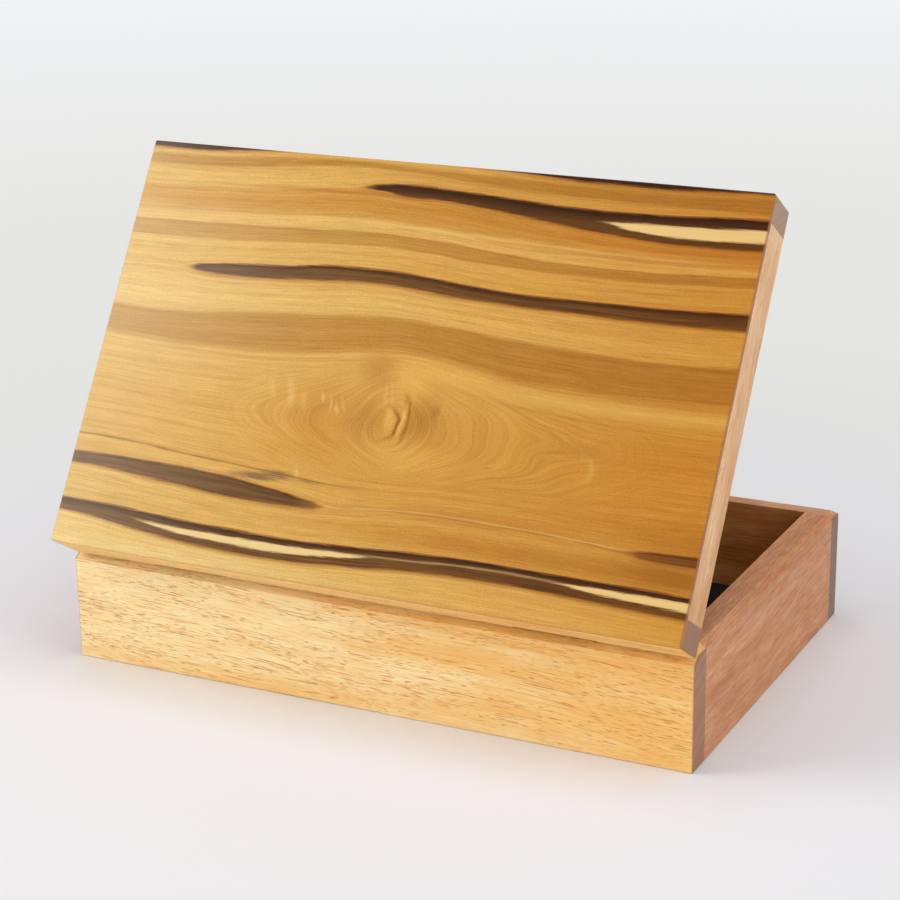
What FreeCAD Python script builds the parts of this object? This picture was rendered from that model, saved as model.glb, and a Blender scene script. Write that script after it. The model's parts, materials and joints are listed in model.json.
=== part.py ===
import FreeCAD, Part
import Sketcher
import math
import os

# Hinged timber box with a framed lid, standing on its underside.
# Row frame: origin at the centre of the underside, +Z up, +X along the length,
# the hinges along the -Y side and the opening edge along the +Y side.
# Every piece is drawn from its own lowest corner and then placed. A wall or rail has its
# outer face on its local XZ plane and its length along local X.

doc = FreeCAD.newDocument("HingedBox")
sheet = doc.addObject("Spreadsheet::Sheet", "Sizes")

# Driving dimensions: millimetres, and degrees for the angle.
SIZES = [
    ("length", 300.0, "overall length"),
    ("depth", 192.0, "overall depth, hinge face to front face"),
    ("base_height", 52.8, "height of the base walls"),
    ("hinge_board", 13.4, "thickness of the base wall under the hinges"),
    ("front_board", 10.8, "thickness of the base front wall"),
    ("end_board", 13.3, "thickness of the two base end walls"),
    ("edge_bevel_width", 3.2, "top bevel on the front and the ends, across the wall"),
    ("edge_bevel_drop", 2.3, "the same bevel, down the wall"),
    ("hinge_bevel_width", 7.9, "top bevel under the hinges, across the wall"),
    ("hinge_bevel_drop", 5.2, "the same bevel, down the wall"),
    ("arris", 0.8, "radius of the eased outer corners"),
    ("panel_arris", 0.7, "radius of the eased rim of the lid panel"),
    ("bottom_thickness", 8.0, "bottom panel"),
    ("rebate_width", 6.0, "how far the bottom panel reaches under each wall"),
    ("panel_clearance", 0.3, "bottom panel to the rebate, each side"),
    ("lining_thickness", 3.0, "felt pad on the bottom panel"),
    ("lining_clearance", 0.5, "felt pad to the walls, each side"),
    ("tongue_thickness", 4.0, "corner tongue on each end piece"),
    ("tongue_reach", 4.0, "how far a tongue enters the long piece"),
    ("tongue_clearance", 0.1, "tongue to its housing, each side"),
    ("base_tongue_stop", 10.0, "base tongues stop this far from top and bottom"),
    ("lid_tongue_stop", 4.0, "lid tongues stop this far from top and bottom"),
    ("rail_height", 20.0, "height of the lid rails"),
    ("rail_thickness", 12.3, "thickness of the lid rails"),
    ("lid_panel", 2.4, "thickness of the lid panel"),
    ("lid_gap", 0.4, "closed lid above the base"),
    ("open_angle", 57.9, "lid angle from closed, as it stands at rest"),
    ("hinge_inset", 2.7, "pin axis inside the hinge face"),
    ("hinge_spacing", 176.0, "between the middles of the two hinges"),
    ("hinge_length", 38.0, "length of each hinge"),
    ("knuckle_radius", 2.5, "outer radius of the knuckles"),
    ("knuckle_slack", 0.15, "end play between two knuckles"),
    ("knuckle_clearance", 0.4, "around the knuckles in the wood"),
    ("pin_radius", 1.2, "hinge pin"),
    ("pin_running", 0.05, "pin to the knuckle that turns on it"),
    ("leaf_width", 8.0, "leaf edge from the pin axis"),
    ("leaf_thickness", 1.2, "hinge leaf"),
    ("leaf_fit", 0.15, "leaf to its recess, each side"),
    ("screw_row", 5.2, "screw line from the pin axis"),
    ("screw_pitch", 13.0, "between two screws of one leaf"),
    ("screw_length", 8.0, "screw under the face of the leaf"),
    ("screw_head_radius", 1.9, "countersunk head"),
    ("screw_head_height", 1.0, "countersunk head"),
    ("screw_shank_radius", 1.0, "screw shank"),
    ("screw_tip", 2.5, "length of the point"),
    ("screw_fit", 0.02, "screw to its hole"),
    ("slot_width", 0.6, "driver slot"),
    ("slot_depth", 0.4, "driver slot"),
]
for row, (alias, value, note) in enumerate(SIZES, start=1):
    sheet.set(f"A{row}", alias)
    sheet.set(f"B{row}", str(value))
    sheet.set(f"C{row}", note)
    sheet.setAlias(f"B{row}", alias)
doc.recompute()

# Expressions that several pieces share.
L = "Sizes.length"
D = "Sizes.depth"
HEIGHT = "Sizes.base_height"
CLEAR_LENGTH = "(Sizes.length - 2 * Sizes.end_board)"
CLEAR_DEPTH = "(Sizes.depth - Sizes.hinge_board - Sizes.front_board)"
LID_CLEAR_DEPTH = "(Sizes.depth - 2 * Sizes.rail_thickness)"
AXIS_Y = "(Sizes.hinge_inset - Sizes.depth / 2)"
AXIS_Z = "(Sizes.base_height + Sizes.lid_gap / 2)"
LID_Z = "(Sizes.base_height + Sizes.lid_gap)"
KNUCKLE = "((Sizes.hinge_length - 2 * Sizes.knuckle_slack) / 3)"
HINGE_SIDES = {"left": "-Sizes.hinge_spacing / 2", "right": "Sizes.hinge_spacing / 2"}

X_AXIS = "vector(1; 0; 0)"
Y_AXIS = "vector(0; 1; 0)"
Z_AXIS = "vector(0; 0; 1)"

bodies = []


def new_body(label):
    """A body that becomes one node."""
    body = doc.addObject("PartDesign::Body", label)
    body.Label = label
    bodies.append(body)
    return body


def origin_feature(body, role):
    """One of the body's own origin planes or axes."""
    for feature in body.Origin.OriginFeatures:
        if feature.Role == role:
            return feature
    raise ValueError(f"{body.Label} has no {role}")


def new_sketch(body, plane, offset="0"):
    """A sketch on an origin plane, moved along the plane's normal."""
    sketch = body.newObject("Sketcher::SketchObject", "Sketch")
    sketch.AttachmentSupport = [(origin_feature(body, plane), "")]
    sketch.MapMode = "FlatFace"
    if offset != "0":
        sketch.setExpression("AttachmentOffset.Base.z", offset)
    return sketch


def bind(sketch, kind, references, expression):
    """A driving constraint whose value comes from the sheet."""
    index = sketch.addConstraint(Sketcher.Constraint(kind, *references, 1.0))
    name = f"{kind.lower()}_{index}"
    sketch.renameConstraint(index, name)
    sketch.setExpression(f"Constraints.{name}", expression)


def pin_point(sketch, geometry, point, across, up):
    """Hold a point of a sketch at two expressions from the sketch origin."""
    if across == "0":
        sketch.addConstraint(Sketcher.Constraint("PointOnObject", geometry, point, -2))
    else:
        bind(sketch, "DistanceX", (-1, 1, geometry, point), across)
    if up == "0":
        sketch.addConstraint(Sketcher.Constraint("PointOnObject", geometry, point, -1))
    else:
        bind(sketch, "DistanceY", (-1, 1, geometry, point), up)


def polygon(sketch, points):
    """A closed outline through points given as pairs of expressions."""
    first = sketch.GeometryCount
    count = len(points)
    turns = [2 * math.pi * i / count for i in range(count)]
    corners = [FreeCAD.Vector(math.cos(turn), math.sin(turn), 0) for turn in turns]
    for i in range(count):
        sketch.addGeometry(Part.LineSegment(corners[i], corners[(i + 1) % count]))
    for i in range(count):
        following = first + (i + 1) % count
        sketch.addConstraint(Sketcher.Constraint("Coincident", first + i, 2, following, 1))
    for i, (across, up) in enumerate(points):
        pin_point(sketch, first + i, 1, across, up)


def rectangle(sketch, left, bottom, right, top):
    """A rectangle between two corners given as expressions."""
    polygon(sketch, [(left, bottom), (right, bottom), (right, top), (left, top)])


def circle(sketch, across, up, radius):
    """A circle whose centre and radius are expressions."""
    index = sketch.GeometryCount
    centre = FreeCAD.Vector(1, 1, 0)
    sketch.addGeometry(Part.Circle(centre, FreeCAD.Vector(0, 0, 1), 1.0))
    pin_point(sketch, index, 3, across, up)
    bind(sketch, "Radius", (index,), radius)


def pad(body, sketch, length, toward_normal=True):
    """Material along the sketch normal, or against it."""
    feature = body.newObject("PartDesign::Pad", "Pad")
    feature.Profile = sketch
    feature.setExpression("Length", length)
    feature.Reversed = not toward_normal
    doc.recompute()
    return feature


def check_less(body, volume, what):
    """Stop when a cut took nothing away."""
    if not body.Shape.Volume < volume - 1e-6:
        raise ValueError(f"{body.Label}: the {what} cuts nothing")


def pocket(body, sketch, depth, toward_normal, what):
    """A cut along the sketch normal or against it. Depth None goes right through."""
    volume = body.Shape.Volume
    feature = body.newObject("PartDesign::Pocket", "Pocket")
    feature.Profile = sketch
    feature.Reversed = toward_normal
    if depth is None:
        feature.Type = "ThroughAll"
    else:
        feature.setExpression("Length", depth)
    doc.recompute()
    check_less(body, volume, what)
    return feature


def ease(body, wanted, radius):
    """Round the edges of the body that wanted picks by their box."""
    limits = body.Shape.BoundBox
    edges = body.Shape.Edges
    names = [f"Edge{i}" for i, edge in enumerate(edges, 1) if wanted(edge.BoundBox, limits)]
    solid = body.Tip
    feature = body.newObject("PartDesign::Fillet", "Ease")
    feature.Base = (solid, names)
    feature.setExpression("Radius", radius)
    doc.recompute()


def near(a, b):
    return abs(a - b) < 1e-4


def outer_corner(edge, limits):
    """A vertical edge at either end of the outer face."""
    at_end = near(edge.XMin, limits.XMin) or near(edge.XMin, limits.XMax)
    return near(edge.YMax, limits.YMin) and near(edge.XLength, 0) and at_end


def outer_foot(edge, limits):
    """The lower edge of the outer face."""
    return near(edge.ZMax, limits.ZMin) and near(edge.YMax, limits.YMin)


def end_foot(edge, limits):
    """The lower edge of an end face."""
    at_end = near(edge.XMin, limits.XMin) or near(edge.XMin, limits.XMax)
    return near(edge.ZMax, limits.ZMin) and near(edge.XLength, 0) and at_end


def lap_edges(edge, limits):
    """What shows outside on a piece that laps the ends."""
    return any(test(edge, limits) for test in (outer_corner, outer_foot, end_foot))


def panel_rim(edge, limits):
    """The upper edges of the lid panel."""
    return near(edge.ZMin, limits.ZMax)


def panel_corner(edge, limits):
    """The upright edges of the lid panel."""
    return near(edge.XLength, 0) and near(edge.YLength, 0)


def place(body, across, along, up, turn="0", axis=Z_AXIS):
    """Stand a piece of the base, turned about its own origin."""
    body.setExpression("Placement", stand(across, along, up, turn, axis))


def place_on_lid(body, across, along, up, turn="0", axis=Z_AXIS):
    """Stand a piece of the lid as it lies closed, then swing it open about the pin."""
    centre = f"vector(0; {AXIS_Y}; {AXIS_Z})"
    swing = f"placement(vector(0; 0; 0); rotation({X_AXIS}; Sizes.open_angle); {centre})"
    body.setExpression("Placement", f"{swing} * {stand(across, along, up, turn, axis)}")


def stand(across, along, up, turn, axis):
    """The placement expression of a piece that is moved and turned."""
    return f"placement(vector({across}; {along}; {up}); rotation({axis}; {turn}))"


# ---- walls of the base and rails of the lid ----

def wall(label, length, thickness, height, bevel=None):
    """A straight piece with its section in local YZ, bevelled on the outer top edge."""
    body = new_body(label)
    section = new_sketch(body, "YZ_Plane")
    outline = [("0", "0"), (thickness, "0"), (thickness, height)]
    if bevel is None:
        outline.append(("0", height))
    else:
        width, drop = bevel
        outline.append((width, height))
        outline.append(("0", f"{height} - {drop}"))
    polygon(section, outline)
    pad(body, section, length)
    return body


def bevel_ends(body):
    """Carry the end bevel of the box across the ends of a wall that laps them."""
    sketch = new_sketch(body, "XZ_Plane")
    low = f"{HEIGHT} - Sizes.edge_bevel_drop"
    width = "Sizes.edge_bevel_width"
    polygon(sketch, [("0", low), (width, HEIGHT), ("0", HEIGHT)])
    polygon(sketch, [(L, low), (L, HEIGHT), (f"{L} - {width}", HEIGHT)])
    pocket(body, sketch, None, False, "end bevel")


def rebate(body, start, end, thickness):
    """The step under the inner face that takes the bottom panel."""
    sketch = new_sketch(body, "XY_Plane")
    rectangle(sketch, start, f"{thickness} - Sizes.rebate_width", end, thickness)
    pocket(body, sketch, "Sizes.bottom_thickness", True, "rebate")


def housings(body, thickness, lapped, height, stop):
    """Two slots in the inner face that take the tongues of the end pieces."""
    sketch = new_sketch(body, "XZ_Plane", f"-{thickness}")
    half = "(Sizes.tongue_thickness / 2 + Sizes.tongue_clearance)"
    low = f"{stop} - Sizes.tongue_clearance"
    high = f"{height} - {stop} + Sizes.tongue_clearance"
    for middle in (f"{lapped} / 2", f"{L} - {lapped} / 2"):
        rectangle(sketch, f"{middle} - {half}", low, f"{middle} + {half}", high)
    pocket(body, sketch, "Sizes.tongue_reach + Sizes.tongue_clearance", True, "housing")


def tongues(body, length, thickness, height, stop):
    """A tongue on both ends of an end piece."""
    sketch = new_sketch(body, "YZ_Plane", "-Sizes.tongue_reach")
    half = "Sizes.tongue_thickness / 2"
    middle = f"{thickness} / 2"
    rectangle(sketch, f"{middle} - {half}", stop, f"{middle} + {half}", f"{height} - {stop}")
    pad(body, sketch, f"{length} + 2 * Sizes.tongue_reach")


def hinge_recesses(body, face, upward):
    """Recesses for both hinges and holes for their screws, cut from the meeting face."""
    radius = "Sizes.knuckle_radius + Sizes.knuckle_clearance"
    steps = (
        (radius, f"{radius} - Sizes.lid_gap / 2", "knuckle recess"),
        ("Sizes.leaf_width + Sizes.leaf_fit", "Sizes.leaf_thickness", "leaf recess"),
    )
    half = "(Sizes.hinge_length / 2 + Sizes.leaf_fit)"
    middles = [f"({L} / 2 + ({side}))" for side in HINGE_SIDES.values()]
    for reach, depth, what in steps:
        sketch = new_sketch(body, "XY_Plane", face)
        inner = f"Sizes.hinge_inset + {reach}"
        for middle in middles:
            rectangle(sketch, f"{middle} - {half}", "0", f"{middle} + {half}", inner)
        pocket(body, sketch, depth, upward, what)
    sketch = new_sketch(body, "XY_Plane", face)
    for middle in middles:
        for step in (-1, 0, 1):
            across = f"{middle} + {step} * Sizes.screw_pitch"
            up = "Sizes.hinge_inset + Sizes.screw_row"
            circle(sketch, across, up, "Sizes.screw_shank_radius + Sizes.screw_fit")
    pocket(body, sketch, "Sizes.screw_length + Sizes.screw_fit", upward, "screw holes")


def base_long_wall(label, thickness, bevel):
    """A front or hinge wall of the base, which laps the ends."""
    body = wall(label, L, thickness, HEIGHT, bevel)
    bevel_ends(body)
    ease(body, lap_edges, "Sizes.arris")
    inset = "(Sizes.end_board - Sizes.rebate_width)"
    rebate(body, inset, f"{L} - {inset}", thickness)
    housings(body, thickness, "Sizes.end_board", HEIGHT, "Sizes.base_tongue_stop")
    return body


def base_end_wall(label):
    """An end wall of the base, which stands between the long walls."""
    thickness = "Sizes.end_board"
    bevel = ("Sizes.edge_bevel_width", "Sizes.edge_bevel_drop")
    body = wall(label, CLEAR_DEPTH, thickness, HEIGHT, bevel)
    ease(body, outer_foot, "Sizes.arris")
    rebate(body, "0", CLEAR_DEPTH, thickness)
    tongues(body, CLEAR_DEPTH, thickness, HEIGHT, "Sizes.base_tongue_stop")
    return body


def lid_long_rail(label):
    """A front or hinge rail of the lid, which laps the ends."""
    body = wall(label, L, "Sizes.rail_thickness", "Sizes.rail_height")
    ease(body, lap_edges, "Sizes.arris")
    thickness = "Sizes.rail_thickness"
    housings(body, thickness, thickness, "Sizes.rail_height", "Sizes.lid_tongue_stop")
    return body


def lid_end_rail(label):
    """An end rail of the lid, which stands between the long rails."""
    thickness = "Sizes.rail_thickness"
    body = wall(label, LID_CLEAR_DEPTH, thickness, "Sizes.rail_height")
    ease(body, outer_foot, "Sizes.arris")
    tongues(body, LID_CLEAR_DEPTH, thickness, "Sizes.rail_height", "Sizes.lid_tongue_stop")
    return body


def slab(label, length, depth, thickness):
    """A flat rectangular panel."""
    body = new_body(label)
    sketch = new_sketch(body, "XY_Plane")
    rectangle(sketch, "0", "0", length, depth)
    pad(body, sketch, thickness)
    return body


def build_base():
    """Four walls, the bottom panel and the felt pad."""
    bevel = ("Sizes.hinge_bevel_width", "Sizes.hinge_bevel_drop")
    board = base_long_wall("hinge_side_board", "Sizes.hinge_board", bevel)
    hinge_recesses(board, HEIGHT, False)
    place(board, f"-{L} / 2", f"-{D} / 2", "0")

    bevel = ("Sizes.edge_bevel_width", "Sizes.edge_bevel_drop")
    board = base_long_wall("front_board", "Sizes.front_board", bevel)
    place(board, f"{L} / 2", f"{D} / 2", "0", "180")

    board = base_end_wall("right_end_board")
    place(board, f"{L} / 2", f"Sizes.hinge_board - {D} / 2", "0", "90")
    board = base_end_wall("left_end_board")
    place(board, f"-{L} / 2", f"{D} / 2 - Sizes.front_board", "0", "-90")

    grow = "2 * (Sizes.rebate_width - Sizes.panel_clearance)"
    length = f"{CLEAR_LENGTH} + {grow}"
    panel = slab("bottom_panel", length, f"{CLEAR_DEPTH} + {grow}", "Sizes.bottom_thickness")
    inset = "Sizes.hinge_board - Sizes.rebate_width + Sizes.panel_clearance"
    place(panel, f"-({length}) / 2", f"{inset} - {D} / 2", "0")

    shrink = "2 * Sizes.lining_clearance"
    length = f"{CLEAR_LENGTH} - {shrink}"
    felt = slab("floor_lining", length, f"{CLEAR_DEPTH} - {shrink}", "Sizes.lining_thickness")
    inset = "Sizes.hinge_board + Sizes.lining_clearance"
    place(felt, f"-({length}) / 2", f"{inset} - {D} / 2", "Sizes.bottom_thickness")


def build_lid():
    """Four rails with one panel over them."""
    rail = lid_long_rail("lid_hinge_rail")
    hinge_recesses(rail, "0", True)
    place_on_lid(rail, f"-{L} / 2", f"-{D} / 2", LID_Z)
    rail = lid_long_rail("lid_front_rail")
    place_on_lid(rail, f"{L} / 2", f"{D} / 2", LID_Z, "180")
    rail = lid_end_rail("lid_right_end")
    place_on_lid(rail, f"{L} / 2", f"Sizes.rail_thickness - {D} / 2", LID_Z, "90")
    rail = lid_end_rail("lid_left_end")
    place_on_lid(rail, f"-{L} / 2", f"{D} / 2 - Sizes.rail_thickness", LID_Z, "-90")

    panel = slab("lid_top_panel", L, D, "Sizes.lid_panel")
    ease(panel, panel_corner, "Sizes.arris")
    ease(panel, panel_rim, "Sizes.panel_arris")
    place_on_lid(panel, f"-{L} / 2", f"-{D} / 2", f"{LID_Z} + Sizes.rail_height")


# ---- hinges ----

def leaf(label, outer_knuckles, bore_radius):
    """Half a butt hinge. Local X runs along the pin, whose axis lies a knuckle's radius
    above and inside the local origin. The leaf reaches along +Y below the axis."""
    body = new_body(label)
    radius = "Sizes.knuckle_radius"
    barrel = new_sketch(body, "YZ_Plane")
    circle(barrel, radius, radius, radius)
    pad(body, barrel, "Sizes.hinge_length")

    plate = new_sketch(body, "YZ_Plane")
    top = f"{radius} - Sizes.lid_gap / 2"
    edge = f"{radius} + Sizes.leaf_width"
    rectangle(plate, radius, f"{top} - Sizes.leaf_thickness", edge, top)
    pad(body, plate, "Sizes.hinge_length")

    first = f"({KNUCKLE} + Sizes.knuckle_slack)"
    if outer_knuckles:
        spans = [(KNUCKLE, f"Sizes.hinge_length - {KNUCKLE}")]
    else:
        spans = [("0", first), (f"Sizes.hinge_length - {first}", "Sizes.hinge_length")]
    gaps = new_sketch(body, "XY_Plane")
    for start, end in spans:
        rectangle(gaps, start, "0", end, f"2 * {radius} + Sizes.knuckle_clearance")
    pocket(body, gaps, None, True, "knuckle gap")

    bore = new_sketch(body, "YZ_Plane")
    circle(bore, radius, radius, bore_radius)
    pocket(body, bore, None, True, "pin bore")

    holes = countersink(body)
    return holes


def countersink(body):
    """Three screw holes, each a cone over a plain hole, along the leaf."""
    sketch = new_sketch(body, "XZ_Plane", "-(Sizes.knuckle_radius + Sizes.screw_row)")
    middle = "Sizes.hinge_length / 2 - Sizes.screw_pitch"
    top = "(Sizes.knuckle_radius - Sizes.lid_gap / 2)"
    head = f"{middle} + Sizes.screw_head_radius + Sizes.screw_fit"
    shank = f"{middle} + Sizes.screw_shank_radius + Sizes.screw_fit"
    shoulder = f"{top} - Sizes.screw_head_height"
    under = f"{top} - Sizes.leaf_thickness - Sizes.screw_fit"
    outline = [(middle, top), (middle, under), (shank, under), (shank, shoulder), (head, top)]
    polygon(sketch, outline)
    volume = body.Shape.Volume
    groove = body.newObject("PartDesign::Groove", "Countersink")
    groove.Profile = sketch
    groove.ReferenceAxis = (sketch, ["Edge1"])
    doc.recompute()
    check_less(body, volume, "countersink")
    pattern = body.newObject("PartDesign::LinearPattern", "CountersinkRow")
    pattern.Originals = [groove]
    pattern.Direction = (origin_feature(body, "X_Axis"), [""])
    pattern.setExpression("Length", "2 * Sizes.screw_pitch")
    pattern.Occurrences = 3
    body.Tip = pattern
    doc.recompute()
    return body


def hinge_pin(label):
    """The pin of one hinge, flush with the outer knuckles."""
    pin = doc.addObject("Part::Cylinder", label)
    pin.Label = label
    pin.setExpression("Radius", "Sizes.pin_radius")
    pin.setExpression("Height", "Sizes.hinge_length")
    bodies.append(pin)
    return pin


def screw_group(label):
    """Six slotted countersunk screws pointing down from local Z 0, three to a hinge.
    The first stands at the local origin."""
    body = new_body(label)
    body.AllowCompound = True
    profile = new_sketch(body, "XZ_Plane")
    head = "Sizes.screw_head_radius"
    shank = "Sizes.screw_shank_radius"
    shoulder = "-Sizes.screw_head_height"
    end = "-Sizes.screw_length"
    outline = [("0", "0"), ("0", end), (shank, f"{end} + Sizes.screw_tip")]
    outline += [(shank, shoulder), (head, "0")]
    polygon(profile, outline)
    screw = body.newObject("PartDesign::Revolution", "Screw")
    screw.Profile = profile
    screw.ReferenceAxis = (profile, ["V_Axis"])
    doc.recompute()
    slot = new_sketch(body, "XY_Plane")
    half = "Sizes.slot_width / 2"
    rectangle(slot, f"-{head}", f"-{half}", head, half)
    cut = pocket(body, slot, "Sizes.slot_depth", False, "driver slot")

    repeats = []
    for count, span in ((3, "2 * Sizes.screw_pitch"), (2, "Sizes.hinge_spacing")):
        row = body.newObject("PartDesign::LinearPattern", "Row")
        row.Direction = (origin_feature(body, "X_Axis"), [""])
        row.setExpression("Length", span)
        row.Occurrences = count
        repeats.append(row)
    group = body.newObject("PartDesign::MultiTransform", "Screws")
    group.Originals = [screw, cut]
    group.Transformations = repeats
    body.Tip = group
    doc.recompute()
    return body


def build_hinges():
    """Two butt hinges: the base leaf holds the pin, and the lid leaf turns on it."""
    reach = "Sizes.knuckle_radius"
    for side, middle in HINGE_SIDES.items():
        start = f"{middle} - Sizes.hinge_length / 2"
        end = f"{middle} + Sizes.hinge_length / 2"
        part = leaf(f"{side}_hinge_base_leaf", True, "Sizes.pin_radius")
        place(part, start, f"{AXIS_Y} - {reach}", f"{AXIS_Z} - {reach}")
        running = "Sizes.pin_radius + Sizes.pin_running"
        part = leaf(f"{side}_hinge_lid_leaf", False, running)
        up = f"{AXIS_Z} + {reach}"
        place_on_lid(part, end, f"{AXIS_Y} - {reach}", up, "180", Y_AXIS)
        part = hinge_pin(f"{side}_hinge_pin")
        place(part, start, AXIS_Y, AXIS_Z, "90", Y_AXIS)

    first = "Sizes.hinge_spacing / 2 + Sizes.screw_pitch"
    row = f"{AXIS_Y} + Sizes.screw_row"
    place(screw_group("base_hinge_screws"), f"-({first})", row, HEIGHT)
    place_on_lid(screw_group("lid_hinge_screws"), first, row, LID_Z, "180", Y_AXIS)


def check_and_write():
    """Stop on any failed feature or shape, then write one file for each node."""
    doc.recompute()
    for item in doc.Objects:
        if "Invalid" in item.State or "Error" in item.State:
            raise ValueError(f"{item.Label} did not build: {item.State}")
    os.makedirs("parts", exist_ok=True)
    for body in bodies:
        shape = body.Shape
        if shape.isNull() or not shape.isValid():
            raise ValueError(f"{body.Label} has no valid shape")
    for body in bodies:
        body.Shape.exportStep(f"parts/{body.Label}.step")
        box = body.Shape.BoundBox
        size = f"{box.XLength:.2f} x {box.YLength:.2f} x {box.ZLength:.2f}"
        print(f"{body.Label}: {len(body.Shape.Solids)} solid, {size} mm")


build_base()
build_lid()
build_hinges()
check_and_write()
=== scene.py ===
import json
import math
from functools import partial
from types import SimpleNamespace

import bmesh
import bpy
from bpy.props import FloatProperty, FloatVectorProperty, PointerProperty
from bpy.types import NodeSocket, Operator, Panel, PropertyGroup
from mathutils import Matrix, Vector, noise


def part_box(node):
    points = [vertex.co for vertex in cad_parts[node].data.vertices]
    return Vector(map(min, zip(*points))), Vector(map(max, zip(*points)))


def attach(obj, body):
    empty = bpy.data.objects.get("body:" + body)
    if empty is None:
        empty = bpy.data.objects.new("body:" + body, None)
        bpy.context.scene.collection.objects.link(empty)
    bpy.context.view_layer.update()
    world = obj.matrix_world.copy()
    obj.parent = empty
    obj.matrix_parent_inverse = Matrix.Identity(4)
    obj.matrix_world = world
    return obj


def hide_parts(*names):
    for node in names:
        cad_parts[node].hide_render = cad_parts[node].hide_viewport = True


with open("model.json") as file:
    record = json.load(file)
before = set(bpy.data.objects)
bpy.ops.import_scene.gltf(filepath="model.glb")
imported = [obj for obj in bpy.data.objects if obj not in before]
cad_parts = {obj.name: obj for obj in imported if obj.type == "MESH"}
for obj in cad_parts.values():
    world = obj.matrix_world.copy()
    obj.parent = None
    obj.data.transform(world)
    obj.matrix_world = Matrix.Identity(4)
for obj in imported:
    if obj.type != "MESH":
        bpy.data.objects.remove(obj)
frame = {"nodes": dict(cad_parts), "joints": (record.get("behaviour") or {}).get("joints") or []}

bl_info = {
    "name": "Hinged timber box",
    "version": (1, 0, 0),
    "blender": (4, 5, 0),
    "location": "3D View > Sidebar > Timber Box",
    "description": "Finishes for a small hinged box with a streaked hardwood lid",
    "category": "Add Mesh",
}

MM = 0.001

# Measures in millimetres.
HALF_LENGTH = 150.0
PANEL_DEPTH = 192.0
SEAM_SCALE = 200.0  # full height of the curves that hold the seams
PIN_ON_PANEL = (0.0, 2.7, -22.6)
LEAST_GAP = 0.6  # between two seams that guide the grain
FRAY = 1.6  # full swing of the fraying of the streaks' edges
HAZE_END = -60.0  # where the painted sheen at the left-hand end ends, from the middle
KNOT_REACH = 160.0  # how far along the panel the knot's rings spread
RING_REACH = 60.0  # size of the widest ring
KNOT_FADES = ((-95.0, -50.0), (135.0, 80.0))  # where the rings fade out, left and right
HOLLOW_MIDDLE = (0.0, 1.3, 60.0)
HOLLOW_HALF = (136.9, 84.1, 51.5)
RELIEF = 0.06  # depth of bump in the timber

# Measures in metres.
PAD_WAVE = 0.03
LAMP_DISTANCE = 1.7
LAMP_TARGET = (0.0, 0.0, 0.1)
GROUND_BLEND = (0.7, 2.2)  # where the far floor turns from its near to its far colour

PAD_CUTS = (67, 41)  # along and across the felt pad, about every 4 mm
FILL_COLOUR = "FBFCFF"  # the even light's cool white

# Size of the knot's rings, as a share of the widest, by share of KNOT_REACH.
RING_SIZES = (
    (0.0, 0.0), (0.06, 0.15), (0.14, 0.28), (0.28, 0.38), (0.5, 0.47), (0.75, 0.55), (1.0, 0.62))

JOINT = frame["joints"][0]
LID_ANGLE = math.radians(-JOINT["range_deg"][0])
PIN = Vector(JOINT["pos_m"]) / MM

SMOOTH = {"interpolation_type": "SMOOTHSTEP"}
STAIN = {"data_type": "RGBA", "blend_type": "MULTIPLY"}


def linear(code):
    """An sRGB hex code as linear red, green and blue."""
    parts = [int(code[i:i + 2], 16) / 255 for i in (0, 2, 4)]
    return tuple(c / 12.92 if c <= 0.04045 else ((c + 0.055) / 1.055) ** 2.4 for c in parts)


def add_node(tree, kind, inputs=(), output=0, **settings):
    """Adds a node of a kind, with its operation after a space, sets its settings, fills or links
    its inputs, by name or in their order, and returns one of its outputs, if it has any."""
    kind, _, operation = kind.partition(" ")
    node = tree.nodes.new("ShaderNode" + kind)
    if operation:
        node.operation = operation
    for name, value in settings.items():
        setattr(node, name, value)
    for name, value in inputs.items() if isinstance(inputs, dict) else enumerate(inputs):
        if isinstance(value, NodeSocket):
            tree.links.new(value, node.inputs[name])
        elif node.inputs[name].type == "RGBA" and len(value) == 3:
            node.inputs[name].default_value = (*value, 1.0)
        else:
            node.inputs[name].default_value = value
    return node.outputs[output] if node.outputs else node


def new_material(name):
    """An empty material, and the function that adds a node to it."""
    material = bpy.data.materials.new(name)
    material.use_nodes = True
    material.node_tree.nodes.clear()
    return material, partial(add_node, material.node_tree)


def in_mm(add, **placing):
    """Object coordinates in millimetres, turned and moved if asked."""
    place = add("TexCoord", output="Object")
    return add("Mapping", {"Vector": place, "Scale": (1 / MM,) * 3, **placing})


def stretched(add, at, scale, detail, output=0, **more):
    """Noise with a scale of its own on each axis, so that it can run with the grain."""
    place = add("Mapping", {"Vector": at, "Scale": scale})
    return add("TexNoise", {"Vector": place, "Scale": 1.0, "Detail": detail, **more}, output)


def sway(add, noise_colour, size):
    """A push either way on each axis, by up to half the size."""
    push = add("VectorMath SUBTRACT", (noise_colour, (0.5, 0.5, 0.5)))
    return add("VectorMath SCALE", {0: push, "Scale": size})


def finish_surface(add, colour, roughness, height, bump, **shader):
    """Joins colour, roughness and relief to one Principled shader."""
    normal = add("Bump", {"Height": height, "Strength": 1.0, "Distance": bump * MM})
    inputs = {"Base Color": colour, "Roughness": roughness, "Normal": normal}
    inputs.update({name.replace("_", " "): value for name, value in shader.items()})
    add("OutputMaterial", {"Surface": add("BsdfPrincipled", inputs)})
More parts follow.
